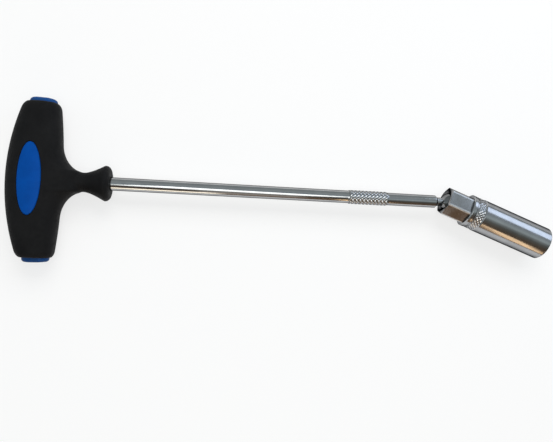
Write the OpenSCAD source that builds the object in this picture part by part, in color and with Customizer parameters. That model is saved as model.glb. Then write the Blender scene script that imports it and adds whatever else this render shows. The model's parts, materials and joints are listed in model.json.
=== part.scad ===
// T-handle spark plug socket wrench with a universal joint, lying on its side.
// +X runs along the socket out of its mouth, +Z is up, and the origin is the centre of the mouth.
// The rod and the handle are swung about the joint, the way the wrench lies at rest.

/* [Handle] */
// Length of the handle over its two end caps
handle_len = 122; // [112:1:132]
// How far each end cap stands out of the rubber
cap_proud = 3.6; // [2.6:0.2:4.2]
// Distance from the rod axis line at the handle's middle to the back edge of the grip
grip_back = 22; // [20:0.5:24]
// Distance from the middle of the handle to the front edge of the grip
grip_front = 17.5; // [16.5:0.5:19]
// Radius of the bow of the back edge, seen from above
back_bow = 157; // [145:1:180]
// Radius of the bow of the front edge, seen from above
front_bow = 470; // [400:10:600]
// Thickness of the grip at its middle
grip_thick = 27; // [25:0.5:30]
// Thickness of the grip at its ends
end_thick = 22; // [20:0.5:24]
// Rounding of the grip at its ends
end_round = 6.5; // [5.5:0.5:8]

/* [Neck] */
// Place of the narrowest section of the neck, from the middle of the handle
waist_x = 34; // [32:0.5:36]
// Diameter of the neck at its waist
waist_d = 14.6; // [14:0.2:16]
// Half width of the flare where the neck runs into the grip
flare_half = 27; // [24:0.5:30]
// Swell of the neck over its waist where it leaves the grip
neck_swell = 1.8; // [1:0.1:2.4]
// Fullness of the flare from the waist to the collar: 1 is a cone, 2 is a bell
flare_power = 1.4; // [1.2:0.1:2]
// Place of the front face of the collar, from the middle of the handle
collar_x = 52.8; // [51:0.2:55]
// Diameter of the collar
collar_d = 27; // [25:0.5:29]
// Rounding of the collar's rim
collar_round = 4; // [3:0.2:5]

/* [Core] */
// Width of the core bar, which shows as the end caps
bar_w = 19.4; // [18:0.2:20]
// Thickness of the core bar
bar_thick = 13; // [12:0.5:14]
// Offset of the core bar from the rod's cross line towards the rod
bar_shift = 1.7; // [1.3:0.1:2]
// Width of the oval pad on each face
oval_w = 17; // [15:0.5:19]
// Length of the oval pad
oval_len = 53; // [47:1:59]
// Depth of the pad's crown below the rubber
oval_sink = 0.3; // [0.2:0.1:0.6]
// Radius of the pad's crown
crown_r = 45; // [40:1:60]
// Diameter of the boss round the rod
boss_d = 16; // [14.6:0.2:17]
// Length of the boss from the middle of the handle
boss_len = 22; // [20:0.5:24]

/* [Rod] */
// Diameter of the rod
rod_d = 10; // [9:0.1:11]
// Distance from the middle of the handle to the centre of the joint
rod_len = 320.4; // [300:0.2:340]
// How far the rod reaches behind the middle of the handle
tail_len = 4; // [3:0.5:5]
// Length of the two flats that stop the rod from turning in the core
flat_len = 16; // [12:0.5:20]
// Thickness of the rod over the flats
flat_thick = 7; // [6:0.2:8]
// Start of the knurled band, from the middle of the handle
knurl_x = 236; // [225:1:245]
// Length of the knurled band
knurl_len = 31.4; // [28:0.2:36]
// Diameter of the knurled band over its crests
knurl_d = 11.2; // [11.1:0.1:12]
// Length of the neck and its cone, from the shoulder to the centre of the joint
neck_len = 12.6; // [12:0.1:15]
// Diameter of the neck behind the ball
neck_d = 7; // [6:0.1:7.2]
// Length of the cone from the rod down to the neck
neck_cone = 1.4; // [1:0.1:2]

/* [Joint] */
// Bend of the socket against the rod at rest
bend = 20.2; // [0:0.1:24]
// Diameter of the ball
ball_d = 15; // [14.4:0.1:15.4]
// Gap between the ball and its seat
ball_gap = 0.1; // [0.05:0.01:0.2]
// Diameter of the cross pin
pin_d = 4; // [3.6:0.1:4.2]
// Length of the cross pin
pin_len = 17.4; // [17:0.1:17.8]
// Gap round the pin in the ball's cross hole
pin_gap = 0.04; // [0.02:0.01:0.08]
// Gap beside the pin in its keyways, and half the gap past its ends
keyway_gap = 0.2; // [0.15:0.05:0.3]
// Radius of the retaining lip behind the ball
lip_r = 7; // [6.9:0.05:7.2]
// Radius of the joint's open end at the rear face
flare_r = 9; // [8.6:0.1:9.2]

/* [Socket] */
// Distance from the centre of the joint to the mouth
joint_to_mouth = 86.8; // [84:0.2:92]
// Distance from the rear face to the centre of the joint
rear_len = 4.5; // [4.3:0.1:4.8]
// Diameter of the barrel
barrel_d = 27; // [26.6:0.1:28]
// Length of the barrel
barrel_len = 60.8; // [57:0.2:62]
// Size of the rear hexagon across its flats
hex_af = 21; // [20.6:0.1:22]
// Turn of the rear hexagon about the socket's axis, from two level flats
hex_turn = 11; // [0:1:30]
// Length of the rear hexagon from the rear face
hex_len = 19.8; // [18:0.2:21]
// Nut chamfer at the rear of the hexagon, measured along the socket
hex_chamfer = 1.2; // [0.8:0.1:1.6]
// Diameter of the collar ring in front of the hexagon
ring_d = 26.4; // [25.6:0.1:26.6]
// Length of the collar ring
ring_len = 3.9; // [3.4:0.1:4.4]
// Diameter of the groove between the ring and the knurled band
groove_d = 25; // [24.4:0.1:25.2]
// Length of the groove
groove_len = 1; // [0.8:0.1:1.4]
// Diameter of the socket's knurled band at its roots
band_d = 25.8; // [25.6:0.1:26.2]
// Chamfer at the barrel's outer edges
edge_chamfer = 0.7; // [0.4:0.1:1]

/* [Plug end] */
// Size of the plug hexagon across its flats
plug_af = 20.8; // [20.6:0.05:21.2]
// Depth of the plug hexagon
plug_depth = 24; // [20:0.5:26]
// Lead-in chamfer at the mouth, measured along the socket
lead_in = 1.6; // [1:0.1:2]
// How far the mouth's round edge stands outside the hexagon's corners
mouth_rim = 0.25; // [0.15:0.05:0.4]
// Diameter of the round bore behind the plug hexagon
bore_d = 20.6; // [20:0.1:20.8]
// Depth of the round bore from the mouth
bore_depth = 66; // [64:0.5:68]
// Place of the rubber insert's front face, from the mouth
insert_x = 36; // [32:0.5:38]
// Length of the rubber insert
insert_len = 21; // [18:0.5:23]
// Depth of the groove that holds the insert
insert_groove = 0.6; // [0.4:0.1:0.8]
// Diameter of the insert's hole
insert_hole_d = 11.6; // [10.6:0.1:12.6]
// Chamfer at both ends of the insert's hole
insert_chamfer = 1.6; // [1:0.1:2]
// Thickness of the spring's retaining disc
disc_thick = 3; // [2.4:0.1:4]
// Diameter of the hole in the retaining disc
disc_hole_d = 6; // [5:0.1:7]
// Mean diameter of the spring
spring_d = 9.2; // [8.6:0.1:9.8]
// Diameter of the spring's wire
wire_d = 1.6; // [1.2:0.1:1.8]
// Turns of the spring
spring_turns = 4.5; // [3.5:0.5:5]

/* [Hidden] */
$fn = 64;

// Gap between pieces that are moulded or pressed together
bond = 0.03;
// Overshoot of a cut past the face it opens
over = 1;

// Fullness of the grip's section: 2 is an ellipse, more is squarer
grip_power = 2.4;
// Stations along the grip and points round each section
grip_steps = 40;
grip_points = 28;
// The rounding at the grip's ends is cut short by this much where the cap comes out
round_cut = 2;
// The concave flare is followed up to this share of its depth
flare_share = 0.99;
// Points along the rim of the oval and along each arc of the neck
oval_points = 48;
arc_steps = 8;
// Steps per turn and sides of the spring's wire
turn_steps = 20;
wire_sides = 8;
// Chamfer at both ends of the cross pin, and at both ends of the rod's knurled band
pin_chamfer = 0.5;
knurl_chamfer = (knurl_d - rod_d) / 2;

rubber_half = handle_len / 2 - cap_proud;
joint_x = -joint_to_mouth;
rear_x = joint_x - rear_len;
hex_front_x = rear_x + hex_len;
ring_front_x = hex_front_x + ring_len;
band_x = ring_front_x + groove_len;
seat_r = ball_d / 2 + ball_gap;
keyway_w = pin_d + 2 * keyway_gap;
keyway_half = pin_len / 2 + 2 * keyway_gap;
spring_end_x = -bore_depth - wire_d / 2 - bond;
spring_reach = ball_d / 2 + wire_d / 2 + ball_gap;
spring_start_x = joint_x + sqrt(pow(spring_reach, 2) - pow(spring_d / 2, 2));

// Grip outline: distance of the back and the front edge from the rod's cross line at a place y
function back_edge(y) = grip_back - y * y / (2 * back_bow);
function flare_rise(y) =
    let (depth = max(0, (flare_half - abs(y)) / (flare_half - waist_d / 2)))
    (waist_x - grip_front) * (1 - sqrt(1 - pow(min(depth, flare_share), 2)));
function front_edge(y) = grip_front - y * y / (2 * front_bow) + flare_rise(y);
function half_thick(y) = grip_thick / 2 - (grip_thick - end_thick) / 2 * pow(abs(y) / rubber_half, 3);

// How much the rounded ends draw the section in at a place y
function end_inset(y) =
    let (past = max(0, abs(y) - (rubber_half + round_cut - end_round)))
    end_round - sqrt(pow(end_round, 2) - pow(past, 2));

// One coordinate of a superellipse, keeping its sign
function full(v) = sign(v) * pow(abs(v), 2 / grip_power);
function grip_point(y, a) =
    let (draw = end_inset(y), reach = (cos(a) < 0 ? back_edge(y) : front_edge(y)) - draw)
    [reach * full(cos(a)), y, (half_thick(y) - draw) * full(sin(a))];

// Places and cells of a loft with so many stations and points round each one
function station(i) = rubber_half * (2 * i / grip_steps - 1);
function loft_sides(stations, points) = [
    for (i = [0:stations - 1], j = [0:points - 1], half = [0, 1])
        let (a = i * points + j, b = i * points + (j + 1) % points)
        half == 0 ? [a, b, a + points] : [b, b + points, a + points]
];

// The spring's wire: centre line at a share of its length, and a ring of points round it
function coil_centre(s) =
    let (a = 360 * spring_turns * s)
    [spring_start_x + (spring_end_x - spring_start_x) * s, spring_d / 2 * cos(a), spring_d / 2 * sin(a)];
function coil_point(s, t) =
    let (a = 360 * spring_turns * s, swell = wire_d / 2 * cos(t))
    coil_centre(s) + [wire_d / 2 * sin(t), swell * cos(a), swell * sin(a)];

// Moves a piece from the rod's own frame, with its origin at the middle of the handle, to its place
module in_rod_frame() {
    translate([joint_x, 0, 0]) rotate([0, 0, bend]) translate([-rod_len, 0, 0]) children();
}

// Round bar along X from one place to another
module along_x(from, to, r) {
    translate([from, 0, 0]) rotate([0, 90, 0]) cylinder(h = to - from, r = r);
}

// Cone along X from one place to another
module cone_x(from, to, r_from, r_to) {
    translate([from, 0, 0]) rotate([0, 90, 0]) cylinder(h = to - from, r1 = r_from, r2 = r_to);
}

// Hexagonal bar along X, turned from two level flats
module hex_x(from, to, across_flats, turn = 0) {
    translate([from, 0, 0]) rotate([0, 90, 0]) rotate([0, 0, 30 - turn])
        cylinder(h = to - from, r = across_flats / sqrt(3), $fn = 6);
}

// Turns a profile drawn as radius and place along X
module turned_x() {
    rotate([0, 90, 0]) rotate_extrude() children();
}

// Cross bar of the grip, lofted from end to end
module grip_bar() {
    rings = [for (i = [0:grip_steps], j = [0:grip_points - 1])
        grip_point(station(i), 360 * j / grip_points)];
    first = [for (j = [grip_points - 1:-1:0]) j];
    last = [for (j = [0:grip_points - 1]) grip_steps * grip_points + j];
    polyhedron(points = rings, faces = concat([first], loft_sides(grip_steps, grip_points), [last]));
}

// Neck and flared collar: a swelling root, a waist, a flare and a rounded rim
module grip_neck() {
    waist_r = waist_d / 2;
    rim_r = collar_d / 2;
    rim_x = collar_x - collar_round;
    root_x = grip_front / 2;
    root = [for (i = [0:arc_steps])
        let (s = i / arc_steps)
        [waist_r + neck_swell * pow(1 - s, 2), root_x + (waist_x - root_x) * s]];
    flare = [for (i = [1:arc_steps])
        let (s = i / arc_steps)
        [waist_r + (rim_r - waist_r) * pow(s, flare_power), waist_x + (rim_x - waist_x) * s]];
    rim = [for (i = [1:arc_steps])
        let (a = 90 * i / arc_steps)
        [rim_r - collar_round + collar_round * cos(a), rim_x + collar_round * sin(a)]];
    turned_x() polygon(concat([[0, root_x]], root, flare, rim, [[0, collar_x]]));
}

// Stadium-shaped bar of the core, grown by a gap on every side
module core_bar(gap, half_len) {
    side_r = bar_thick / 2 + gap;
    translate([bar_shift, half_len, 0]) rotate([90, 0, 0]) linear_extrude(2 * half_len) union() {
        square([bar_w - bar_thick, 2 * side_r], center = true);
        for (side = [-1, 1]) translate([side * (bar_w - bar_thick) / 2, 0]) circle(side_r);
    }
}

// Oval column through the handle, centred on the grip at its middle
module oval_column(gap, half_height) {
    rim = [for (i = [0:oval_points - 1])
        let (a = 360 * i / oval_points)
        [(oval_w / 2 + gap) * cos(a), (oval_len / 2 + gap) * sin(a)]];
    translate([(grip_front - grip_back) / 2, 0, -half_height]) linear_extrude(2 * half_height) polygon(rim);
}

// Pads with crowned faces, one on each side of the handle
module oval_pads() {
    crown_z = grip_thick / 2 - oval_sink;
    for (side = [-1, 1]) intersection() {
        oval_column(0, grip_thick);
        translate([(grip_front - grip_back) / 2, handle_len / 2, side * (crown_z - crown_r)])
            rotate([90, 0, 0]) cylinder(h = handle_len, r = crown_r, $fn = 128);
        translate([-grip_thick, -handle_len / 2, side < 0 ? -grip_thick : 0])
            cube([2 * grip_thick, handle_len, grip_thick]);
    }
}

// The rod's buried end, with its two flats, grown by a gap
module rod_tail(gap) {
    half_flat = flat_thick / 2 + gap;
    difference() {
        along_x(-tail_len - gap, boss_len + over, rod_d / 2 + gap);
        for (side = [-1, 1])
            translate([-tail_len - over, -rod_d, side < 0 ? -half_flat - rod_d : half_flat])
                cube([flat_len + over + gap, 2 * rod_d, rod_d]);
    }
}

// Blue moulded core: bar with domed ends, two oval pads and a boss round the rod
module handle_core() {
    color([0.02, 0.22, 0.55]) in_rod_frame() difference() {
        union() {
            intersection() {
                core_bar(0, handle_len / 2);
                sphere(handle_len / 2, $fn = 128);
            }
            oval_pads();
            along_x(0, boss_len, boss_d / 2);
        }
        rod_tail(bond);
    }
}

// Black rubber grip moulded over the core, with an oval window on each face
module handle_grip() {
    color([0.12, 0.12, 0.12]) in_rod_frame() difference() {
        union() {
            grip_bar();
            grip_neck();
        }
        core_bar(bond, rubber_half + over);
        oval_column(bond, grip_thick);
        along_x(0, boss_len + bond, boss_d / 2 + bond);
        along_x(0, collar_x + over, rod_d / 2 + bond);
    }
}

// Chromed rod: flats at the tail, knurled band, neck and ball with its cross hole
module shaft() {
    shoulder_x = rod_len - neck_len;
    knurl_end = knurl_x + knurl_len;
    color([0.78, 0.79, 0.81]) in_rod_frame() difference() {
        union() {
            rod_tail(0);
            along_x(boss_len, shoulder_x, rod_d / 2);
            cone_x(knurl_x, knurl_x + knurl_chamfer, rod_d / 2, knurl_d / 2);
            along_x(knurl_x + knurl_chamfer, knurl_end - knurl_chamfer, knurl_d / 2);
            cone_x(knurl_end - knurl_chamfer, knurl_end, knurl_d / 2, rod_d / 2);
            cone_x(shoulder_x, shoulder_x + neck_cone, rod_d / 2, neck_d / 2);
            along_x(shoulder_x + neck_cone, rod_len, neck_d / 2);
            translate([rod_len, 0, 0]) sphere(ball_d / 2);
        }
        translate([rod_len, 0, -ball_d]) cylinder(h = 2 * ball_d, r = pin_d / 2 + pin_gap);
    }
}

// Cross pin through the ball, running in the socket's keyways
module joint_pin() {
    half = pin_len / 2;
    tip_r = pin_d / 2 - pin_chamfer;
    color([0.6, 0.6, 0.62]) translate([joint_x, 0, 0]) rotate_extrude()
        polygon([[0, -half], [tip_r, -half], [pin_d / 2, pin_chamfer - half],
                 [pin_d / 2, half - pin_chamfer], [tip_r, half], [0, half]]);
}

// Outside of the socket: hexagon with a domed nut chamfer, ring, groove, knurled band and barrel
module socket_outside() {
    corner_r = hex_af / sqrt(3);
    tip_r = corner_r - 2 * hex_chamfer;
    dome_x = (pow(corner_r, 2) - pow(tip_r, 2) + pow(hex_chamfer, 2)) / (2 * hex_chamfer);
    buried_x = hex_front_x + ring_len / 2;
    intersection() {
        hex_x(rear_x, buried_x, hex_af, hex_turn);
        translate([rear_x + dome_x, 0, 0]) sphere(sqrt(pow(tip_r, 2) + pow(dome_x, 2)), $fn = 128);
    }
    turned_x() polygon([
        [0, hex_front_x], [ring_d / 2 - edge_chamfer, hex_front_x], [ring_d / 2, hex_front_x + edge_chamfer],
        [ring_d / 2, ring_front_x - edge_chamfer], [ring_d / 2 - edge_chamfer, ring_front_x],
        [groove_d / 2, ring_front_x], [groove_d / 2, band_x], [band_d / 2, band_x],
        [band_d / 2, -barrel_len], [barrel_d / 2 - edge_chamfer, -barrel_len],
        [barrel_d / 2, edge_chamfer - barrel_len], [barrel_d / 2, -edge_chamfer],
        [barrel_d / 2 - edge_chamfer, 0], [0, 0]
    ]);
}

// Round hollow of the socket, from the open rear of the joint to the bore behind the plug hexagon
module socket_hollow() {
    lip_x = -sqrt(seat_r * seat_r - lip_r * lip_r);
    land_x = lip_x - (rear_len + lip_x) / 2.5;
    flare_len = rear_len + land_x;
    flare_x = (pow(flare_r, 2) - pow(lip_r, 2) - pow(flare_len, 2)) / (2 * flare_len);
    land_back = land_x - flare_len / 2; // in the flare, so that no skin is left between the two
    groove_r = bore_d / 2 + insert_groove;
    turned_x() union() {
        translate([0, joint_x]) intersection() {
            circle(seat_r);
            translate([0, -seat_r]) square(seat_r);
        }
        translate([0, joint_x]) square([seat_r, -bore_depth - joint_x]);
        translate([0, joint_x + land_back]) square([lip_r, lip_x / 2 - land_back]);
        intersection() {
            translate([0, rear_x - flare_x]) circle(sqrt(pow(flare_r, 2) + pow(flare_x, 2)), $fn = 128);
            translate([0, rear_x - over]) square([flare_r + over, flare_len + over]);
        }
        translate([0, -bore_depth]) square([bore_d / 2, bore_depth - plug_depth / 2]);
        translate([0, -insert_x - insert_len]) square([groove_r, insert_len]);
    }
}

// Chromed socket with the joint's seat at its rear and the plug hexagon at its mouth
module socket() {
    keyway_back = joint_x - rear_len - over;
    mouth_r = plug_af / sqrt(3) + mouth_rim;
    lead_x = mouth_r - lead_in;
    color([0.74, 0.76, 0.79]) difference() {
        socket_outside();
        socket_hollow();
        translate([keyway_back, -keyway_w / 2, -keyway_half])
            cube([-bore_depth + over - keyway_back, keyway_w, 2 * keyway_half]);
        hex_x(-plug_depth, over, plug_af);
        translate([lead_x, 0, 0]) sphere(sqrt(pow(lead_x, 2) + pow(mouth_r, 2)), $fn = 128);
    }
}

// Spring that presses the ball against its lip, so that the joint stays where it is put
module joint_spring() {
    steps = round(turn_steps * spring_turns);
    rings = [for (i = [0:steps], j = [0:wire_sides - 1]) coil_point(i / steps, 360 * j / wire_sides)];
    first = [for (j = [wire_sides - 1:-1:0]) j];
    last = [for (j = [0:wire_sides - 1]) steps * wire_sides + j];
    color([0.5, 0.5, 0.52])
        polyhedron(points = rings, faces = concat([first], loft_sides(steps, wire_sides), [last]));
}

// Disc pressed into the bottom of the bore, which carries the spring
module spring_disc() {
    color([0.55, 0.55, 0.57]) difference() {
        along_x(-bore_depth, disc_thick - bore_depth, bore_d / 2 - bond);
        along_x(-bore_depth - over, disc_thick - bore_depth + over, disc_hole_d / 2);
    }
}

// Rubber bush that grips the plug's insulator
module plug_insert() {
    hole_r = insert_hole_d / 2;
    back_x = -insert_x - insert_len;
    color([0.08, 0.08, 0.08]) difference() {
        along_x(back_x + bond, -insert_x - bond, bore_d / 2 + insert_groove - bond);
        along_x(back_x - over, over - insert_x, hole_r);
        cone_x(-insert_x - insert_chamfer, over - insert_x, hole_r, hole_r + insert_chamfer + over);
        cone_x(back_x - over, back_x + insert_chamfer, hole_r + insert_chamfer + over, hole_r);
    }
}

handle_core();
handle_grip();
shaft();
joint_pin();
socket();
joint_spring();
spring_disc();
plug_insert();
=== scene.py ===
"""Looks of the T-handle spark plug wrench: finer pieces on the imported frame, finishes, stage and camera."""

import json
from math import cos, pi, radians, sin, sqrt, tan

import bmesh
import bpy
from mathutils import Matrix, Vector


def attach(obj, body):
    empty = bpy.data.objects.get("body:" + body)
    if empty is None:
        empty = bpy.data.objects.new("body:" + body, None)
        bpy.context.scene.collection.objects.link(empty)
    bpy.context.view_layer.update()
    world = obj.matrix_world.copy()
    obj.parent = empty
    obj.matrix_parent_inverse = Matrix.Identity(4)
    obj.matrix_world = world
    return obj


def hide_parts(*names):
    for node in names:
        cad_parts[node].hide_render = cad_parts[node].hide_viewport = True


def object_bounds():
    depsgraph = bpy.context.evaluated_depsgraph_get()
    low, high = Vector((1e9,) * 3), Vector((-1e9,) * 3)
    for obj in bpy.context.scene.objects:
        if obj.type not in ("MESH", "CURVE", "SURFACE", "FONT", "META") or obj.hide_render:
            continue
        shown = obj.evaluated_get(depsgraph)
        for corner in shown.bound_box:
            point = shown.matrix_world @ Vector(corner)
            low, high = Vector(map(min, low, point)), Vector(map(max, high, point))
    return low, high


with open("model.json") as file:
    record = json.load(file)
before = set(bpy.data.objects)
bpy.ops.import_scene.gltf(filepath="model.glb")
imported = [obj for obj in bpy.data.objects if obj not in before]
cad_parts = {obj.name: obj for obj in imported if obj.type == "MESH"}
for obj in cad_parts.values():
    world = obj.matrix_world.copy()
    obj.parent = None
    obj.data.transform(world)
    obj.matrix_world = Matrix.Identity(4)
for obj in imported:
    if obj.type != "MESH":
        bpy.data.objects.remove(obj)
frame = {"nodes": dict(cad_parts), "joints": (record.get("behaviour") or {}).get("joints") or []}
cad_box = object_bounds()

# Sizes are in millimetres, as in the solids, and become metres when a piece is put in its place
MM = 0.001
SHARP_ANGLE = radians(38)
# An extra ring this far from a rounded edge keeps the shading of the plain run beside it straight
GUARD = 1.0
# How far a cutter, or a range of tones, runs past the face where it leaves the piece
OVERRUN = 1.0
# Fineness of arcs, of drilled holes and of the rings that close a crowned face
ARC_STEPS = 5
HOLE_SEGMENTS = 96
FACE_SHARES = (0.8, 0.6, 0.4, 0.2, 0.05)

# Handle: cross bar of the grip, in the rod's own frame, with rounded ends that are cut flat
HANDLE_HALF = 61.0
RUBBER_HALF = 57.4
GRIP_BACK = 21.95
GRIP_FRONT = 17.5
BACK_BOW = 157.0
FRONT_BOW = 470.0
GRIP_THICK = 27.0
END_THICK = 22.0
END_ROUND = 6.5
ROUND_CUT = 2.0
GRIP_POWER = 2.4
GRIP_STATIONS = 150
GRIP_POINTS = 128
GRIP_VOXEL = 0.6
GRIP_SMOOTHING = 10
GRIP_SMOOTH_FACTOR = 0.5

# Handle: neck and flared collar
WAIST_X = 34.0
WAIST_R = 7.3
FLARE_HALF = 27.0
FLARE_SHARE = 0.99
NECK_SWELL = 1.8
FLARE_POWER = 1.4
COLLAR_X = 52.8
COLLAR_R = 13.5
COLLAR_ROUND = 4.0
NECK_STEPS = 32
NECK_SEGMENTS = 128

# Handle: core with its end caps and oval pads
BAR_STRAIGHT = 3.2
BAR_R = 6.5
BAR_SHIFT = 1.7
BAR_POINTS = 96
CAP_ROUND = 2.0
CAP_STEPS = 7
OVAL_X = (GRIP_FRONT - GRIP_BACK) / 2
OVAL_HALF_W = 8.5
OVAL_HALF_LEN = 26.5
OVAL_SINK = 0.3
OVAL_ROUND = 0.9
OVAL_POINTS = 128
CROWN_R = 45.0
LIP_ROUND = 0.9
LIP_STEPS = 5
LIP_STEP = radians(14)
BOSS_R = 8.0
BOSS_LEN = 22.0
BOND = 0.03

# Rod
ROD_R = 5.0
ROD_LEN = 320.4
TAIL_LEN = 4.0
FLAT_LEN = 16.0
FLAT_HALF = 3.5
TAIL_CHAMFER = 0.5
KNURL_X = 236.0
KNURL_LEN = 31.4
KNURL_R = 5.6
KNURL_DEPTH = 0.36
KNURL_END = 0.6
ROD_TEETH = 12
ROD_PITCH = 3.0
NECK_LEN = 12.6
NECK_R = 3.5
NECK_CONE = 1.4
NECK_FILLET = 0.5
BALL_R = 7.5
BALL_STEPS = 40
PIN_HOLE_R = 2.04
PIN_HOLE_SEGMENTS = 48

# Socket, in its own frame: X runs out of the mouth, where the origin is
REAR_X = -91.3
HEX_FRONT_X = -71.5
RING_FRONT_X = -67.6
BAND_X = -66.6
BARREL_X = -60.8
BARREL_R = 13.49
RING_R = 13.2
GROOVE_R = 12.5
BAND_R = 12.9
BAND_CREST = 0.32
EDGE_CHAMFER = 0.7
EDGE_FILLET = 0.3
HEX_HALF = 10.5
HEX_TURN = radians(11)
HEX_CORNER = 1.6
HEX_CHAMFER = 1.2
HEX_CHAMFER_STEPS = 10
SOCKET_TEETH = 30
SOCKET_PITCH = 2.8
SEGMENTS_PER_TOOTH = 16
PLUG_HALF = 10.4
PLUG_CORNER = 0.5
PLUG_DEPTH = 24.0
LEAD_IN = 1.6
LEAD_IN_STEPS = 6
MOUTH_RIM = 0.25
MOUTH_R = 2 * PLUG_HALF / sqrt(3) + MOUTH_RIM
BORE_R = 10.3
BORE_DEPTH = 66.0
INSERT_X = 36.0
INSERT_LEN = 21.0
INSERT_GROOVE = 0.6
SEAT_R = 7.6
SEAT_STEPS = 8
LIP_R = 7.0
LAND_SHARE = 0.4
FLARE_R = 9.0
KEYWAY_HALF_W = 2.2
KEYWAY_HALF = 9.1

# Joint, bend at rest and the rod's own frame, with its origin in the handle
JOINT = Vector(frame["joints"][0]["pos_m"]) / MM
BEND = radians(20.2)
ROD_FRAME = Matrix.Translation(JOINT) @ Matrix.Rotation(BEND, 4, "Z") @ Matrix.Translation((-ROD_LEN, 0, 0))
TO_METRES = Matrix.Scale(MM, 4)


# Mesh tools

def new_piece(name, points, faces):
    """Mesh object from points and faces, with its normals pointing out."""
    mesh = bpy.data.meshes.new(name)
    mesh.from_pydata(points, [], faces)
    skin = bmesh.new()
    skin.from_mesh(mesh)
    bmesh.ops.recalc_face_normals(skin, faces=skin.faces)
    skin.to_mesh(mesh)
    skin.free()
    piece = bpy.data.objects.new(name, mesh)
    bpy.context.scene.collection.objects.link(piece)
    return piece


def loft(name, rings, closed=False):
    """Skin through rings of points: capped at both ends, or closed from the last ring to the first."""
    count = len(rings[0])
    points = [point for ring in rings for point in ring]
    faces = []
    for i in range(len(rings) if closed else len(rings) - 1):
        here = i * count
        there = (i + 1) % len(rings) * count
        for j in range(count):
            k = (j + 1) % count
            faces.append((here + j, here + k, there + k, there + j))
    if not closed:
        faces.append(tuple(range(count)))
        faces.append(tuple(range(len(points) - count, len(points))))
    return new_piece(name, points, faces)


def turned_ring(x, radius_at, segments):
    """Ring of points round the X axis; radius_at gives the radius at an angle from +Y to +Z."""
    angles = [2 * pi * j / segments for j in range(segments)]
    return [(x, radius_at(a) * cos(a), radius_at(a) * sin(a)) for a in angles]


def round_ring(x, radius, segments):
    return turned_ring(x, lambda a: radius, segments)


def round_bar(name, start, end, radius):
    """Round bar or drill along the X axis."""
    return loft(name, [round_ring(x, radius, HOLE_SEGMENTS) for x in (start, end)])


def filleted(corners):
    """Profile through corners given as (x, r, fillet radius), with each fillet as an arc."""
    profile = [Vector(corners[0][:2])]
    for before, corner, after in zip(corners, corners[1:], corners[2:]):
        here = Vector(corner[:2])
        fillet = corner[2]
        if fillet == 0:
            profile.append(here)
            continue
        back = (Vector(before[:2]) - here).normalized()
        ahead = (Vector(after[:2]) - here).normalized()
        half = back.angle(ahead) / 2
        reach = fillet / tan(half)
        middle = here + (back + ahead).normalized() * fillet / sin(half)
        start = here + back * reach - middle
        end = here + ahead * reach - middle
        for i in range(ARC_STEPS + 1):
            profile.append(middle + start.slerp(end, i / ARC_STEPS) * fillet)
    profile.append(Vector(corners[-1][:2]))
    return profile


def evaluated(piece):
    """Replaces the mesh by the one its modifiers give."""
    depsgraph = bpy.context.evaluated_depsgraph_get()
    mesh = bpy.data.meshes.new_from_object(piece.evaluated_get(depsgraph))
    piece.modifiers.clear()
    old = piece.data
    piece.data = mesh
    bpy.data.meshes.remove(old)
    mesh.name = piece.name


def combine(piece, other, operation):
    """Joins the other mesh to the piece, or cuts it out of the piece, and removes it."""
    modifier = piece.modifiers.new("combine", "BOOLEAN")
    modifier.solver = "MANIFOLD"
    modifier.operation = operation
    modifier.object = other
    evaluated(piece)
    bpy.data.objects.remove(other)


def put(piece, matrix, body, slot, material, *nodes):
    """Brings a piece into its place in metres, smooths its shading and hands it to its body."""
    piece.data.transform(TO_METRES @ matrix)
    piece.data.shade_smooth()
    piece.data.set_sharp_from_angle(angle=SHARP_ANGLE)
    piece.data.materials.clear()
    piece.data.materials.append(material)
    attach(piece, body)
    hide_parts(*nodes)


def diamond(angle, along, teeth, pitch):
    """Height of a diamond knurl, from 0 in its grooves to 1 on its crests."""
    turn = teeth * angle / (2 * pi)
    rising = abs(2 * ((turn + along / pitch) % 1) - 1)
    falling = abs(2 * ((turn - along / pitch) % 1) - 1)
    return min(rising, falling)


def knurl_rings(start, length, teeth, pitch, radius_at):
    """Rings of a knurled band; radius_at gives the radius for a place along it and a tooth's height."""
    step = pitch / SEGMENTS_PER_TOOTH
    rings = []
    for i in range(1, int(length / step)):
        along = i * step

        def knurled(angle):
            return radius_at(along, diamond(angle, along, teeth, pitch))

        rings.append(turned_ring(start + along, knurled, teeth * SEGMENTS_PER_TOOTH))
    return rings


def hexagon(half, corner, angle):
    """Radius of a hexagon with level flats and rounded corners; the angle runs from +Y to +Z."""
    off_flat = angle % (pi / 3) - pi / 6
    off_corner = pi / 6 - abs(off_flat)
    centre = (half - corner) / cos(pi / 6)
    tangent = corner * sin(pi / 6) / (centre + corner * cos(pi / 6))
    if tan(off_corner) > tangent:
        return half / cos(off_flat)
    return centre * cos(off_corner) + sqrt(corner ** 2 - (centre * sin(off_corner)) ** 2)


# Grip

def back_edge(y):
    return GRIP_BACK - y * y / (2 * BACK_BOW)


def front_edge(y):
    """Front outline of the grip, with the concave flare into the neck."""
    depth = max(0, (FLARE_HALF - abs(y)) / (FLARE_HALF - WAIST_R))
    rise = (WAIST_X - GRIP_FRONT) * (1 - sqrt(1 - min(depth, FLARE_SHARE) ** 2))
    return GRIP_FRONT - y * y / (2 * FRONT_BOW) + rise


def half_thick(y):
    return GRIP_THICK / 2 - (GRIP_THICK - END_THICK) / 2 * (abs(y) / RUBBER_HALF) ** 3


def grip_top(x, y):
    """Height of the grip's face over the rod's plane."""
    reach = back_edge(y) if x < 0 else front_edge(y)
    share = min(1, abs(x) / reach)
    return half_thick(y) * (1 - share ** GRIP_POWER) ** (1 / GRIP_POWER)


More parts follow.
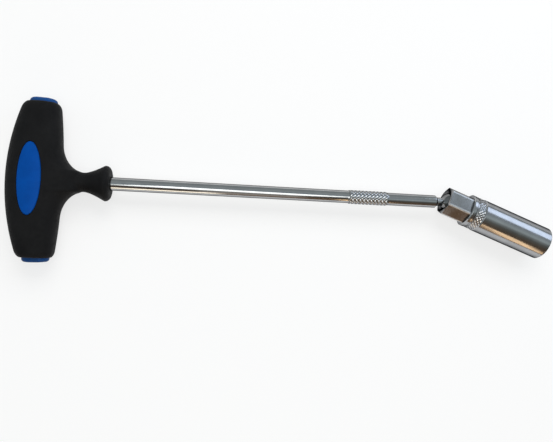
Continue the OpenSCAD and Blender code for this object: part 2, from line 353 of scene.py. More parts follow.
def grip_ring(y):
    """Section of the cross bar at a place along it."""
    past = max(0, abs(y) - (RUBBER_HALF + ROUND_CUT - END_ROUND))
    draw = END_ROUND - sqrt(END_ROUND ** 2 - past ** 2)
    ring = []
    for j in range(GRIP_POINTS):
        angle = 2 * pi * j / GRIP_POINTS
        reach = (back_edge(y) if cos(angle) < 0 else front_edge(y)) - draw
        across = abs(cos(angle)) ** (2 / GRIP_POWER)
        up = abs(sin(angle)) ** (2 / GRIP_POWER)
        x = reach * (across if cos(angle) > 0 else -across)
        z = (half_thick(y) - draw) * (up if sin(angle) > 0 else -up)
        ring.append((x, y, z))
    return ring


def grip_neck():
    """Neck of the grip: a swelling root, a waist, a flare and a collar with a rounded rim."""
    root_x = GRIP_FRONT / 2
    rim_x = COLLAR_X - COLLAR_ROUND
    profile = []
    for i in range(NECK_STEPS + 1):
        share = i / NECK_STEPS
        profile.append((root_x + (WAIST_X - root_x) * share, WAIST_R + NECK_SWELL * (1 - share) ** 2))
    for i in range(1, NECK_STEPS + 1):
        share = i / NECK_STEPS
        radius = WAIST_R + (COLLAR_R - WAIST_R) * share ** FLARE_POWER
        profile.append((WAIST_X + (rim_x - WAIST_X) * share, radius))
    for i in range(1, NECK_STEPS + 1):
        angle = pi / 2 * i / NECK_STEPS
        profile.append((rim_x + COLLAR_ROUND * sin(angle), COLLAR_R - COLLAR_ROUND * (1 - cos(angle))))
    return loft("neck", [round_ring(x, r, NECK_SEGMENTS) for x, r in profile])


def oval_point(grow, angle):
    x = OVAL_X + (OVAL_HALF_W + grow) * cos(angle)
    y = (OVAL_HALF_LEN + grow) * sin(angle)
    return x, y


def window_cutter(side):
    """Oval cutter that follows the grip's face and leaves a rounded lip round the window."""
    steps = [(BOND, -2 * LIP_ROUND)]
    for i in range(LIP_STEPS + 1):
        angle = LIP_STEP * i
        steps.append((BOND + LIP_ROUND * (1 - cos(angle)), LIP_ROUND * (sin(angle) - 1)))
    steps.append((BOND + LIP_ROUND, LIP_ROUND / 4))
    steps.append((BOND + 2 * LIP_ROUND, 3 * LIP_ROUND))
    angles = [2 * pi * j / OVAL_POINTS for j in range(OVAL_POINTS)]
    rings = [[(*oval_point(BOND, a), 0) for a in angles]]
    for grow, lift in steps:
        ring = []
        for a in angles:
            x, y = oval_point(grow, a)
            ring.append((x, y, side * (grip_top(x, y) + lift)))
        rings.append(ring)
    return loft("window", rings)


def bar_outline(grow):
    """Stadium-shaped section of the core bar, grown or shrunk, as (x, z) points."""
    outline = []
    for j in range(BAR_POINTS):
        angle = 2 * pi * (j + 0.5) / BAR_POINTS
        straight = BAR_STRAIGHT if cos(angle) > 0 else -BAR_STRAIGHT
        outline.append((BAR_SHIFT + straight + (BAR_R + grow) * cos(angle), (BAR_R + grow) * sin(angle)))
    return outline


def make_grip(material):
    """Rubber grip: cross bar and neck blended into one skin, with its windows and the rod's hole."""
    stations = [RUBBER_HALF * (2 * i / GRIP_STATIONS - 1) for i in range(GRIP_STATIONS + 1)]
    grip = loft("grip", [grip_ring(y) for y in stations])
    combine(grip, grip_neck(), "UNION")
    remesh = grip.modifiers.new("skin", "REMESH")
    remesh.mode = "VOXEL"
    remesh.voxel_size = GRIP_VOXEL
    smooth = grip.modifiers.new("smooth", "SMOOTH")
    smooth.factor = GRIP_SMOOTH_FACTOR
    smooth.iterations = GRIP_SMOOTHING
    evaluated(grip)
    past_end = HANDLE_HALF + OVERRUN
    core = loft("core_room", [[(x, y, z) for x, z in bar_outline(BOND)] for y in (-past_end, past_end)])
    combine(grip, core, "DIFFERENCE")
    for side in (-1, 1):
        combine(grip, window_cutter(side), "DIFFERENCE")
    combine(grip, round_bar("boss_room", 0, BOSS_LEN + BOND, BOSS_R + BOND), "DIFFERENCE")
    combine(grip, round_bar("rod_room", 0, COLLAR_X + OVERRUN, ROD_R + BOND), "DIFFERENCE")
    put(grip, ROD_FRAME, "handle", "grip_rubber", material, "handle_grip")


# Core

def dome(x, z):
    """Reach of the domed end of the core bar."""
    return sqrt(HANDLE_HALF ** 2 - x ** 2 - z ** 2)


def bar_end(side):
    """Rings of one end of the core bar, from its straight part to the middle of its domed face."""
    rings = [[(x, side * (RUBBER_HALF - GUARD), z) for x, z in bar_outline(0)]]
    for i in range(CAP_STEPS + 1):
        angle = pi / 2 * i / CAP_STEPS
        outline = bar_outline(-CAP_ROUND * (1 - cos(angle)))
        drop = CAP_ROUND * (1 - sin(angle))
        rings.append([(x, side * (dome(x, z) - drop), z) for x, z in outline])
    for share in FACE_SHARES:
        face = [(BAR_SHIFT + (x - BAR_SHIFT) * share, z * share) for x, z in bar_outline(-CAP_ROUND)]
        rings.append([(x, side * dome(x, z), z) for x, z in face])
    return rings


def oval_pad(side):
    """Crowned oval pad with a rounded rim, from the middle of the core to the face of the grip."""
    angles = [2 * pi * j / OVAL_POINTS for j in range(OVAL_POINTS)]

    def crown(x):
        return GRIP_THICK / 2 - OVAL_SINK - CROWN_R + sqrt(CROWN_R ** 2 - (x - OVAL_X) ** 2)

    rings = [[(*oval_point(0, a), 0) for a in angles]]
    for i in range(ARC_STEPS + 1):
        turn = pi / 2 * i / ARC_STEPS
        points = [oval_point(OVAL_ROUND * (cos(turn) - 1), a) for a in angles]
        rings.append([(x, y, side * (crown(x) + OVAL_ROUND * (sin(turn) - 1))) for x, y in points])
    for share in FACE_SHARES:
        points = [oval_point(-OVAL_ROUND, a) for a in angles]
        face = [(OVAL_X + (x - OVAL_X) * share, y * share) for x, y in points]
        rings.append([(x, y, side * crown(x)) for x, y in face])
    return loft("pad", rings)


def make_core(material):
    """Blue core: bar with domed end caps, two oval pads and the boss that holds the rod."""
    core = loft("core", list(reversed(bar_end(-1))) + bar_end(1))
    for side in (-1, 1):
        combine(core, oval_pad(side), "UNION")
    combine(core, round_bar("boss", 0, BOSS_LEN, BOSS_R), "UNION")
    combine(core, round_bar("tail_room", -TAIL_LEN - BOND, BOSS_LEN + OVERRUN, ROD_R + BOND), "DIFFERENCE")
    put(core, ROD_FRAME, "handle", "core_plastic", material, "handle_core")


# Rod

def make_rod(material):
    """Chromed rod: flats at the tail, diamond-knurled band, shoulder, neck and ball."""
    segments = ROD_TEETH * SEGMENTS_PER_TOOTH
    shoulder_x = ROD_LEN - NECK_LEN
    ball_x = ROD_LEN - sqrt(BALL_R ** 2 - NECK_R ** 2)
    flat_end = FLAT_LEN - TAIL_LEN
    knurl_end = KNURL_X + KNURL_LEN

    def flatted(angle):
        return min(ROD_R, FLAT_HALF / max(abs(sin(angle)), FLAT_HALF / ROD_R))

    def knurled(along, height):
        tooth = KNURL_R - KNURL_DEPTH * (1 - height)
        ramp = min(1, along / KNURL_END, (KNURL_LEN - along) / KNURL_END)
        return ROD_R + (tooth - ROD_R) * ramp

    rings = [turned_ring(-TAIL_LEN, lambda a: flatted(a) - TAIL_CHAMFER, segments)]
    for x in (TAIL_CHAMFER - TAIL_LEN, flat_end):
        rings.append(turned_ring(x, flatted, segments))
    rings.append(round_ring(flat_end + BOND, ROD_R, segments))
    rings += [round_ring(x, ROD_R, segments) for x in (BOSS_LEN, KNURL_X - GUARD, KNURL_X)]
    rings += knurl_rings(KNURL_X, KNURL_LEN, ROD_TEETH, ROD_PITCH, knurled)
    rings.append(round_ring(knurl_end, ROD_R, segments))
    neck = filleted([
        (knurl_end + GUARD, ROD_R, 0),
        (shoulder_x - GUARD, ROD_R, 0),
        (shoulder_x, ROD_R, NECK_FILLET),
        (shoulder_x + NECK_CONE, NECK_R, NECK_FILLET),
        (ball_x, NECK_R, 0),
    ])
    rings += [round_ring(x, r, segments) for x, r in neck]
    start = pi - Vector((ROD_LEN - ball_x, NECK_R)).angle(Vector((1, 0)))
    for i in range(1, BALL_STEPS):
        angle = start * (1 - i / BALL_STEPS)
        rings.append(round_ring(ROD_LEN + BALL_R * cos(angle), BALL_R * sin(angle), segments))
    rod = loft("rod", rings)
    reach = 2 * BALL_R
    rounds = [round_ring(height, PIN_HOLE_R, PIN_HOLE_SEGMENTS) for height in (-reach, reach)]
    cross = [[(ROD_LEN + x, y, z) for z, x, y in ring] for ring in rounds]
    combine(rod, loft("cross_hole", cross), "DIFFERENCE")
    put(rod, ROD_FRAME, "handle", "rod_chrome", material, "shaft")


# Socket

def socket_outside(segments):
    """Rings of the outside, from the rear face to the mouth."""
    corner_r = 2 * HEX_HALF / sqrt(3)
    tip_r = corner_r - 2 * HEX_CHAMFER
    dome_x = (corner_r ** 2 - tip_r ** 2 + HEX_CHAMFER ** 2) / (2 * HEX_CHAMFER)
    dome_r = sqrt(tip_r ** 2 + dome_x ** 2)

    def nut(x):
        cap = sqrt(dome_r ** 2 - (x - REAR_X - dome_x) ** 2)
        return turned_ring(x, lambda a: min(hexagon(HEX_HALF, HEX_CORNER, a + HEX_TURN), cap), segments)

    def knurled(along, height):
        return BAND_R + BAND_CREST * height

    rings = [nut(REAR_X + HEX_CHAMFER * i / HEX_CHAMFER_STEPS) for i in range(HEX_CHAMFER_STEPS + 1)]
    rings += [nut(x) for x in (REAR_X + 4 * HEX_CHAMFER, HEX_FRONT_X - EDGE_FILLET, HEX_FRONT_X)]
    profile = filleted([
        (HEX_FRONT_X, RING_R - EDGE_CHAMFER - EDGE_FILLET / 2, 0),
        (HEX_FRONT_X, RING_R - EDGE_CHAMFER, EDGE_FILLET / 3),
        (HEX_FRONT_X + EDGE_CHAMFER, RING_R, EDGE_FILLET),
        (HEX_FRONT_X + EDGE_CHAMFER + GUARD, RING_R, 0),
        (RING_FRONT_X - EDGE_CHAMFER - GUARD, RING_R, 0),
        (RING_FRONT_X - EDGE_CHAMFER, RING_R, EDGE_FILLET),
        (RING_FRONT_X, GROOVE_R, EDGE_FILLET),
        (BAND_X, GROOVE_R, EDGE_FILLET / 2),
        (BAND_X, BAND_R, 0),
    ])
    rings += [round_ring(x, r, segments) for x, r in profile]
    rings += knurl_rings(BAND_X, BARREL_X - BAND_X, SOCKET_TEETH, SOCKET_PITCH, knurled)
    profile = filleted([
        (BARREL_X, BARREL_R - EDGE_CHAMFER, 0),
        (BARREL_X + EDGE_CHAMFER, BARREL_R, EDGE_FILLET),
        (BARREL_X + EDGE_CHAMFER + GUARD, BARREL_R, 0),
        (-EDGE_CHAMFER - GUARD, BARREL_R, 0),
        (-EDGE_CHAMFER, BARREL_R, EDGE_FILLET),
        (0, BARREL_R - EDGE_CHAMFER, EDGE_FILLET / 2),
        (0, MOUTH_R, 0),
    ])
    return rings + [round_ring(x, r, segments) for x, r in profile]


def socket_inside(segments):
    """Rings of the inside, from the mouth's lead-in to the open rear of the joint."""
    lead_x = MOUTH_R - LEAD_IN
    lead_r = sqrt(lead_x ** 2 + MOUTH_R ** 2)
    lip_x = JOINT.x - sqrt(SEAT_R ** 2 - LIP_R ** 2)
    land_x = lip_x - (lip_x - REAR_X) * LAND_SHARE
    flare_len = land_x - REAR_X
    flare_x = (FLARE_R ** 2 - LIP_R ** 2 - flare_len ** 2) / (2 * flare_len)
    groove_back = -INSERT_X - INSERT_LEN

    def plug(x):
        lead = sqrt(max(0, lead_r ** 2 - (lead_x - x) ** 2))
        return turned_ring(x, lambda a: max(hexagon(PLUG_HALF, PLUG_CORNER, a), lead), segments)

    def keyed(x, radius):
        def reach(angle):
            side = KEYWAY_HALF_W / max(abs(cos(angle)), KEYWAY_HALF_W / KEYWAY_HALF)
            top = KEYWAY_HALF / max(abs(sin(angle)), KEYWAY_HALF_W / KEYWAY_HALF)
            return max(radius, min(side, top))
        return turned_ring(x, reach, segments)

    rings = [plug(-LEAD_IN * i / LEAD_IN_STEPS) for i in range(1, LEAD_IN_STEPS + 1)]
    rings.append(plug(-PLUG_DEPTH))
    bore = [(-PLUG_DEPTH, BORE_R), (-INSERT_X, BORE_R), (-INSERT_X, BORE_R + INSERT_GROOVE),
            (groove_back, BORE_R + INSERT_GROOVE), (groove_back, BORE_R), (-BORE_DEPTH, BORE_R)]
    rings += [round_ring(x, r, segments) for x, r in bore]
    rings += [keyed(x, SEAT_R) for x in (-BORE_DEPTH, JOINT.x)]
    for i in range(1, SEAT_STEPS + 1):
        x = JOINT.x + (lip_x - JOINT.x) * i / SEAT_STEPS
        rings.append(keyed(x, sqrt(SEAT_R ** 2 - (x - JOINT.x) ** 2)))
    rings.append(keyed(land_x, LIP_R))
    for i in range(1, ARC_STEPS + 1):
        behind = flare_len * (1 - i / ARC_STEPS)
        radius = sqrt(FLARE_R ** 2 + flare_x ** 2 - (flare_x + behind) ** 2)
        rings.append(keyed(REAR_X + behind, radius))
    return rings


def make_socket(material):
    """Chromed socket: nut-shaped rear, ring, groove, knurled band, barrel and the stepped hollow."""
    segments = SOCKET_TEETH * SEGMENTS_PER_TOOTH
    socket = loft("socket_shell", socket_outside(segments) + socket_inside(segments), closed=True)
    put(socket, Matrix(), "socket", "socket_chrome", material, "socket")


# Finishes

# Range of a noise texture that counts
NOISE_LOW = 0.3
NOISE_HIGH = 0.7
# Painted shade in a knurl's grooves and painted highlight on its crests: brightness against the plain metal,
# from its grooves at 0 to its crests at 1
KNURL_SHADE_AND_HIGHLIGHT = [(0.0, 0.5), (0.4, 1.1), (0.75, 1.8), (1.0, 2.2)]
# Worn, rougher corners of the hexagon with a painted highlight: depth, roughness and painted brightness
CORNER_WEAR_AND_HIGHLIGHT = 0.45
CORNER_ROUGH = 0.6
CORNER_HIGHLIGHT_TONES = [(0.0, 1.0), (0.4, 1.3), (1.0, 1.6)]
# Painted shade: brightness of the joint's inside, of the rear face and of the ball
INSIDE_SHADE = [(0.0, 0.45), (0.5, 0.6), (0.9, 1.0)]
REAR_SHADE = [(0.0, 0.5), (0.3, 0.6), (0.9, 1.0)]
BALL_SHADE = [(0.0, 1.0), (0.1, 0.5)]
# Painted shade on the core's ends, in noisy patches: where the ends start, and the noise levels for no shade
# and full shade
END_SHADE_START = 1.5 * OVAL_HALF_LEN
END_SHADE_LIMITS = (0.0, 0.55)
# Colours of the finishes, as dark and light tones, and of the painted shade on the core's ends
GRIP_BLACK = ((0.007, 0.007, 0.0075), (0.0105, 0.0105, 0.011))
INSERT_BLACK = ((0.012, 0.012, 0.013), (0.022, 0.022, 0.023))
CORE_BLUE = ((0.0, 0.056, 0.29), (0.0, 0.066, 0.34))
CORE_END_SHADE = (0.014, 0.060, 0.19)
ROD_CHROME = ((0.40, 0.405, 0.41), (0.46, 0.465, 0.47))
SOCKET_CHROME = ((0.38, 0.385, 0.395), (0.44, 0.445, 0.455))
PIN_STEEL = ((0.50, 0.50, 0.52), (0.62, 0.62, 0.64))
SPRING_STEEL = ((0.36, 0.36, 0.38), (0.50, 0.50, 0.52))
DISC_STEEL = ((0.44, 0.44, 0.46), (0.56, 0.56, 0.58))
# Roughness of the finishes, at its smoothest and its roughest
ROD_POLISH = (0.07, 0.13)
SOCKET_POLISH = (0.12, 0.20)
STEEL_POLISH = (0.26, 0.42)
RUBBER_POLISH = (0.55, 0.72)
PLASTIC_POLISH = (0.38, 0.52)


def fill_ramp(ramp, stops):
    """Gives a colour ramp its stops, as places from 0 to 1 and colours."""
    elements = ramp.color_ramp.elements
    while len(elements) < len(stops):
        elements.new(1.0)
    for element, (position, colour) in zip(elements, stops):
        element.position = position
        element.color = (*colour, 1)


class Finish:
    """Principled material with noise layers in millimetres along the rod's or the socket's own axes."""

    def __init__(self, name, turn=0.0):
        self.material = bpy.data.materials.new(name)
        self.material.use_nodes = True
        self.nodes = self.material.node_tree.nodes
        self.links = self.material.node_tree.links
        self.shader = self.nodes["Principled BSDF"]
        self.turn = turn
        self.place = self.nodes.new("ShaderNodeTexCoord").outputs["Object"]

    def set(self, **values):
        """Values that are the same all over, by the shader's input names."""
        for name, value in values.items():
            self.shader.inputs[name.replace("_", " ")].default_value = value

    def mapped(self, origin, scale):
        """Places from an origin, in axes that turn with the piece and in units of a scale."""
        mapping = self.nodes.new("ShaderNodeMapping")
        mapping.vector_type = "TEXTURE"
        mapping.inputs["Location"].default_value = origin
        mapping.inputs["Rotation"].default_value = (0, 0, self.turn)
        mapping.inputs["Scale"].default_value = scale
        self.links.new(self.place, mapping.inputs["Vector"])
        return mapping.outputs["Vector"]

    def noise(self, grain, detail, stretch=(1, 1, 1)):
        """Noise whose grain is a length in millimetres, stretched along the axes."""
        noise = self.nodes.new("ShaderNodeTexNoise")
        noise.inputs["Scale"].default_value = 1.0
        noise.inputs["Detail"].default_value = detail
        self.links.new(self.mapped((0, 0, 0), [grain * MM * s for s in stretch]), noise.inputs["Vector"])
        return noise.outputs["Fac"]

    def colour(self, factor, dark, light):
        """Base colour that varies between two tones."""
        ramp = self.nodes.new("ShaderNodeValToRGB")
        fill_ramp(ramp, [(NOISE_LOW, dark), (NOISE_HIGH, light)])
        self.links.new(factor, ramp.inputs["Fac"])
        self.links.new(ramp.outputs["Color"], self.shader.inputs["Base Color"])

    def roughness(self, factor, smooth, rough):
        """Roughness that varies between two levels."""
        spread = self.nodes.new("ShaderNodeMapRange")
        spread.inputs["From Min"].default_value = NOISE_LOW
        spread.inputs["From Max"].default_value = NOISE_HIGH
        spread.inputs["To Min"].default_value = smooth
        spread.inputs["To Max"].default_value = rough
        self.links.new(factor, spread.inputs["Value"])
        self.links.new(spread.outputs["Result"], self.shader.inputs["Roughness"])

    def feed(self, value, socket):
        """Links an output to a socket, or sets the socket to a plain value."""
        if isinstance(value, bpy.types.NodeSocket):
            self.links.new(value, socket)
        else:
            socket.default_value = value

    def math(self, operation, first, second=0.0):
        """Output of a math node, whose inputs are other outputs or plain numbers."""
        node = self.nodes.new("ShaderNodeMath")
        node.operation = operation
        self.feed(first, node.inputs[0])
        self.feed(second, node.inputs[1])
        return node.outputs[0]

    def share(self, value, low, high):
        """Place of a value between two limits, from 0 to 1."""
        return self.math("DIVIDE", self.math("SUBTRACT", value, low), high - low)

    def axes(self):
        """Places along, across and over the axis through the joint, in millimetres."""
        split = self.nodes.new("ShaderNodeSeparateXYZ")
        self.links.new(self.mapped(JOINT * MM, (MM, MM, MM)), split.inputs["Vector"])
        return split.outputs

    def layer(self, mode, factor, colour):
        """Lays a colour over the base colour."""
        base = self.shader.inputs["Base Color"]
        mix = self.nodes.new("ShaderNodeMix")
        mix.data_type = "RGBA"
        mix.blend_type = mode
        share, first, second = [socket for socket in mix.inputs if socket.enabled]
        self.feed(factor, share)
        self.feed(base.links[0].from_socket, first)
        self.feed(colour, second)
        self.feed([socket for socket in mix.outputs if socket.enabled][0], base)

    def tones(self, share, stops, inside=1.0):
        """Multiplies the base colour by tones, which are given as places from 0 to 1 and brightness."""
        ramp = self.nodes.new("ShaderNodeValToRGB")
        fill_ramp(ramp, [(position, (tone, tone, tone)) for position, tone in stops])
        self.feed(share, ramp.inputs["Fac"])
        self.layer("MULTIPLY", inside, ramp.outputs["Color"])

    def ring_tones(self, start, end, low_r, high_r, stops):
        """Tones by the distance from the axis, between two places along it."""
        along, across, up = self.axes()
        past_start = self.math("GREATER_THAN", along, start)
        before_end = self.math("LESS_THAN", along, end)
        square = self.math("ADD", self.math("MULTIPLY", across, across), self.math("MULTIPLY", up, up))
        share = self.share(self.math("SQRT", square), low_r, high_r)
        inside = self.math("MULTIPLY", past_start, before_end)
        self.tones(share, stops, inside)
        return self.math("MULTIPLY", share, inside)

    def roughen(self, share, rough):
        """Raises the roughness where a share nears 1."""
        rough_share = self.math("MULTIPLY", share, rough)
        plain = self.shader.inputs["Roughness"].links[0].from_socket
        self.feed(self.math("MAXIMUM", plain, rough_share), self.shader.inputs["Roughness"])

    def bump(self, factor, height, strength):
        """Bump of a height in millimetres."""
        bump = self.nodes.new("ShaderNodeBump")
        bump.inputs["Strength"].default_value = strength
        bump.inputs["Distance"].default_value = height * MM
        self.links.new(factor, bump.inputs["Height"])
        self.links.new(bump.outputs["Normal"], self.shader.inputs["Normal"])


def chrome(name, tones, polish, turn=0.0):
    """Bright plate over turned steel, with faint rings from the lathe and soft smudges."""
    finish = Finish(name, turn)
    finish.set(Metallic=1.0, Specular_Tint=(0.0, 0.0, 0.0, 1))
    finish.colour(finish.noise(grain=9.0, detail=3.0), *tones)
    finish.roughness(finish.noise(grain=5.0, detail=4.0, stretch=(1, 3, 3)), *polish)
    finish.bump(finish.noise(grain=0.5, detail=2.0, stretch=(1, 60, 60)), height=0.004, strength=0.5)
    return finish


def rod_plate():
    """Plate of the rod, with painted shade and highlight on its knurl and painted shade on the ball inside
    the joint.
    """
    finish = chrome("rod_plate", ROD_CHROME, ROD_POLISH, BEND)
    start = KNURL_X - ROD_LEN
    # Painted shade in the knurl's grooves and painted highlight on its crests
    finish.ring_tones(start, start + KNURL_LEN, KNURL_R - KNURL_DEPTH, KNURL_R, KNURL_SHADE_AND_HIGHLIGHT)
    # Painted shade on the ball inside the joint
    finish.tones(finish.share(finish.axes()[0], -BALL_R, BALL_R), BALL_SHADE)
    return finish.material


def socket_plate():
    """Plate of the socket, with painted shade and highlight on its knurl, worn, rougher corners of the
    hexagon with a painted highlight, and painted shade inside the joint and on the rear face.
    """
    finish = chrome("socket_plate", SOCKET_CHROME, SOCKET_POLISH)
    rear = REAR_X - JOINT.x
    hex_front = HEX_FRONT_X - JOINT.x
    corner_r = hexagon(HEX_HALF, HEX_CORNER, 0)
    # Painted shade in the band's knurl grooves and painted highlight on its crests
    finish.ring_tones(BAND_X - JOINT.x, BARREL_X - JOINT.x, BAND_R, BAND_R + BAND_CREST, KNURL_SHADE_AND_HIGHLIGHT)
    # Corners of the hexagon brightened as a painted highlight, and roughened as wear below
    worn_and_highlit = finish.ring_tones(rear, hex_front, corner_r - CORNER_WEAR_AND_HIGHLIGHT, corner_r, CORNER_HIGHLIGHT_TONES)
    finish.roughen(worn_and_highlit, CORNER_ROUGH)
    # Painted shade inside the joint
    finish.ring_tones(rear - OVERRUN, hex_front, FLARE_R, HEX_HALF, INSIDE_SHADE)
    # Painted shade on the rear face
    finish.tones(finish.share(finish.axes()[0], rear, rear + HEX_CHAMFER), REAR_SHADE)
    return finish.material


def steel(name, tones):
    """Ground steel of the hidden joint pieces, with a slight film of oil."""
    finish = Finish(name)
    finish.set(Metallic=1.0)
    finish.colour(finish.noise(grain=2.0, detail=3.0), *tones)
    finish.roughness(finish.noise(grain=1.5, detail=4.0), *STEEL_POLISH)
    finish.bump(finish.noise(grain=0.3, detail=2.0, stretch=(8, 1, 1)), height=0.006, strength=0.5)
    return finish.material


def rubber(name, tones, grain):
    """Soft black rubber with a fine moulded grain."""
    finish = Finish(name)
    finish.set(Specular_IOR_Level=0.1)
    finish.colour(finish.noise(grain=14.0, detail=5.0), *tones)
    finish.roughness(finish.noise(grain=3.0, detail=4.0), *RUBBER_POLISH)
    finish.bump(finish.noise(grain, detail=3.0), height=0.05, strength=0.6)
    return finish.material


def plastic(name, tones, ends):
    """Moulded blue plastic, with slight flow marks, a satin skin and ends darkened in noisy patches as
    painted shade.
    """
    finish = Finish(name, BEND)
    finish.set(Specular_IOR_Level=0.08)
    finish.colour(finish.noise(grain=8.0, detail=4.0), *tones)
    # Painted shade on the core's ends, laid on in noisy patches
    reach = finish.math("ABSOLUTE", finish.axes()[1])
    at_ends = finish.math("GREATER_THAN", reach, END_SHADE_START)
    end_shade_patches = finish.share(finish.noise(grain=1.2, detail=4.0), *END_SHADE_LIMITS)
    finish.layer("MIX", finish.math("MULTIPLY", at_ends, end_shade_patches), (*ends, 1))
    finish.roughness(finish.noise(grain=2.5, detail=4.0), *PLASTIC_POLISH)
    finish.bump(finish.noise(grain=0.5, detail=2.0), height=0.012, strength=0.5)
    return finish.material


def dress(node, material):
    """Gives a carried-over solid its finish."""
    slots = frame["nodes"][node].data.materials
    slots.clear()
    slots.append(material)


# Stage: floor, light and camera

# Floor: height and width in metres, paint, and the share of plain white that the camera and the chrome see
FLOOR_Z = cad_box[0].z
FLOOR_SIZE = 40.0
FLOOR_COLOUR = (0.93, 0.93, 0.93, 1)
FLOOR_WHITE = 0.7
# Power of an area light for each unit of its area and radiance
LIGHT_POWER = 4


def floor_paint():
    """Pale paint that keeps the object's shadow, and shows white to the camera and in the chrome."""
    material = bpy.data.materials.new("floor_paint")
    material.use_nodes = True
    nodes = material.node_tree.nodes
    links = material.node_tree.links
    nodes.clear()
    paint = nodes.new("ShaderNodeBsdfDiffuse")
    paint.inputs["Color"].default_value = FLOOR_COLOUR
    white = nodes.new("ShaderNodeEmission")
    white.inputs["Strength"].default_value = 1.0
    path = nodes.new("ShaderNodeLightPath")
    seen = path.outputs["Is Camera Ray"]
    for ray in ("Is Glossy Ray", "Is Transmission Ray"):
        either = nodes.new("ShaderNodeMath")
        either.operation = "MAXIMUM"
        links.new(seen, either.inputs[0])
        links.new(path.outputs[ray], either.inputs[1])
        seen = either.outputs[0]
    share = nodes.new("ShaderNodeMath")
    share.operation = "MULTIPLY"
    share.inputs[1].default_value = FLOOR_WHITE
    links.new(seen, share.inputs[0])
    mix = nodes.new("ShaderNodeMixShader")
    links.new(share.outputs[0], mix.inputs["Fac"])
    links.new(paint.outputs[0], mix.inputs[1])
    links.new(white.outputs[0], mix.inputs[2])
    output = nodes.new("ShaderNodeOutputMaterial")
    links.new(mix.outputs[0], output.inputs["Surface"])
    return material


def make_floor():
    """Level floor under the object."""
    half = FLOOR_SIZE / 2
    corners = [(x * half, y * half, FLOOR_Z) for x, y in ((-1, -1), (1, -1), (1, 1), (-1, 1))]
    floor = new_piece("floor", corners, [(0, 1, 2, 3)])
    floor.data.materials.append(floor_paint())


def softbox(name, centre, target, width, height, radiance, colour, in_gloss=True):
    """Soft area light, placed and aimed in the rod's own frame."""
    light = bpy.data.lights.new(name, "AREA")
    light.shape = "RECTANGLE"
    light.size = width * MM
    light.size_y = height * MM
    light.energy = LIGHT_POWER * light.size * light.size_y * radiance
    light.color = colour
    lamp = bpy.data.objects.new(name, light)
    bpy.context.scene.collection.objects.link(lamp)
    place = ROD_FRAME @ Vector(centre)
    aim = ROD_FRAME @ Vector(target) - place
    lamp.matrix_world = Matrix.Translation(place * MM) @ aim.to_track_quat("-Z", "Y").to_matrix().to_4x4()
    lamp.visible_camera = False
    lamp.visible_glossy = in_gloss


def make_lights():
    """Overhead box, a cool and a warm side box, two cards in front and a broad fill."""
    softbox("overhead", centre=(190, -215, 1000), target=(190, -215, 0), width=600, height=500,
            radiance=1.85, colour=(1.0, 0.995, 0.98))
    softbox("cool_side", centre=(1043, 525, 489), target=(360, -20, 0), width=700, height=540,
            radiance=1.32, colour=(0.68, 0.79, 1.0))
    softbox("warm_side", centre=(540, -947, 289), target=(360, -20, 0), width=122, height=420,
            radiance=1.65, colour=(1.0, 0.70, 0.42))
    softbox("cream_card", centre=(-30, -900, 230), target=(60, 0, 0), width=340, height=320,
            radiance=2.0, colour=(1.0, 0.91, 0.75))
    softbox("dim_card", centre=(230, -850, 620), target=(230, 0, 0), width=300, height=760,
            radiance=0.25, colour=(1.0, 0.97, 0.92))
    softbox("fill", centre=(300, 1000, 1050), target=(200, 0, 0), width=1100, height=800,
            radiance=3.6, colour=(1.0, 0.985, 0.965), in_gloss=False)


# Tones of the room from the brown side in front of the wrench to the cool side behind it
WORLD_TONES = [
    (0.0, (0.20, 0.118, 0.065)),
    (0.12, (0.13, 0.098, 0.07)),
    (0.26, (0.14, 0.14, 0.125)),
    (0.34, (0.23, 0.255, 0.25)),
    (0.445, (0.50, 0.57, 0.58)),
    (0.62, (0.36, 0.41, 0.44)),
    (0.78, (0.43, 0.47, 0.48)),
    (0.89, (0.36, 0.40, 0.41)),
    (1.0, (0.34, 0.37, 0.38)),
]


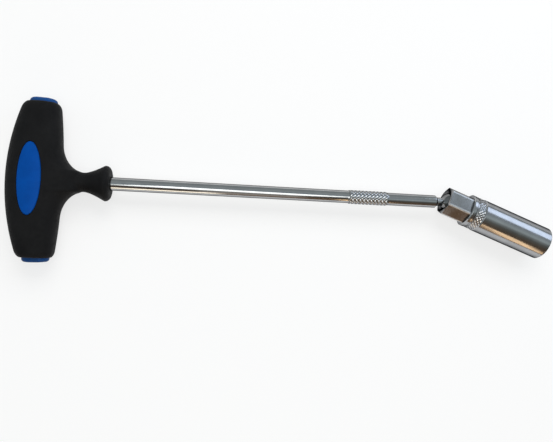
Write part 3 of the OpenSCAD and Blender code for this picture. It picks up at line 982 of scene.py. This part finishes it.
def make_world():
    """Dim surroundings in soft bands that run along the rod."""
    world = bpy.data.worlds.new("room")
    world.use_nodes = True
    nodes = world.node_tree.nodes
    links = world.node_tree.links
    background = nodes["Background"]
    place = nodes.new("ShaderNodeTexCoord")
    turn = nodes.new("ShaderNodeVectorRotate")
    turn.rotation_type = "Z_AXIS"
    turn.inputs["Angle"].default_value = -BEND
    links.new(place.outputs["Generated"], turn.inputs["Vector"])
    split = nodes.new("ShaderNodeSeparateXYZ")
    links.new(turn.outputs["Vector"], split.inputs["Vector"])
    spread = nodes.new("ShaderNodeMapRange")
    spread.inputs["From Min"].default_value = -1.0
    links.new(split.outputs["Y"], spread.inputs["Value"])
    tones = nodes.new("ShaderNodeValToRGB")
    tones.color_ramp.interpolation = "EASE"
    fill_ramp(tones, WORLD_TONES)
    links.new(spread.outputs["Result"], tones.inputs["Fac"])
    links.new(tones.outputs["Color"], background.inputs["Color"])
    bpy.context.scene.world = world


# Camera in the rod's own frame: X along the rod, Y up in the picture, Z towards the viewer; clip in metres
IMAGE_WIDTH = 553
FOCAL_PIXELS = 520
SENSOR_WIDTH = 36.0
CAMERA_PLACE = (130.4, -31.4, 403.1)
CAMERA_TURN = (radians(1.02), radians(-7.0), radians(2.61))
CLIP_START = 0.01


def make_camera():
    """Camera over the wrench, at the photograph's angle."""
    data = bpy.data.cameras.new("camera")
    data.sensor_fit = "HORIZONTAL"
    data.sensor_width = SENSOR_WIDTH
    data.lens = SENSOR_WIDTH * FOCAL_PIXELS / IMAGE_WIDTH
    data.clip_start = CLIP_START
    camera = bpy.data.objects.new("camera", data)
    bpy.context.scene.collection.objects.link(camera)
    turn = Matrix.Identity(4)
    for angle, axis in zip(CAMERA_TURN, "XYZ"):
        turn = Matrix.Rotation(angle, 4, axis) @ turn
    place = ROD_FRAME @ Matrix.Translation(CAMERA_PLACE) @ turn
    place.translation *= MM
    camera.matrix_world = place
    bpy.context.scene.camera = camera


make_camera()
make_world()
make_lights()
make_floor()
bpy.context.scene.view_settings.view_transform = "Standard"

make_grip(rubber("grip_rubber", GRIP_BLACK, grain=0.6))
make_core(plastic("core_blue", CORE_BLUE, CORE_END_SHADE))
make_rod(rod_plate())
make_socket(socket_plate())
dress("joint_pin", steel("pin_steel", PIN_STEEL))
dress("joint_spring", steel("spring_steel", SPRING_STEEL))
dress("spring_disc", steel("disc_steel", DISC_STEEL))
dress("plug_insert", rubber("insert_rubber", INSERT_BLACK, grain=0.4))
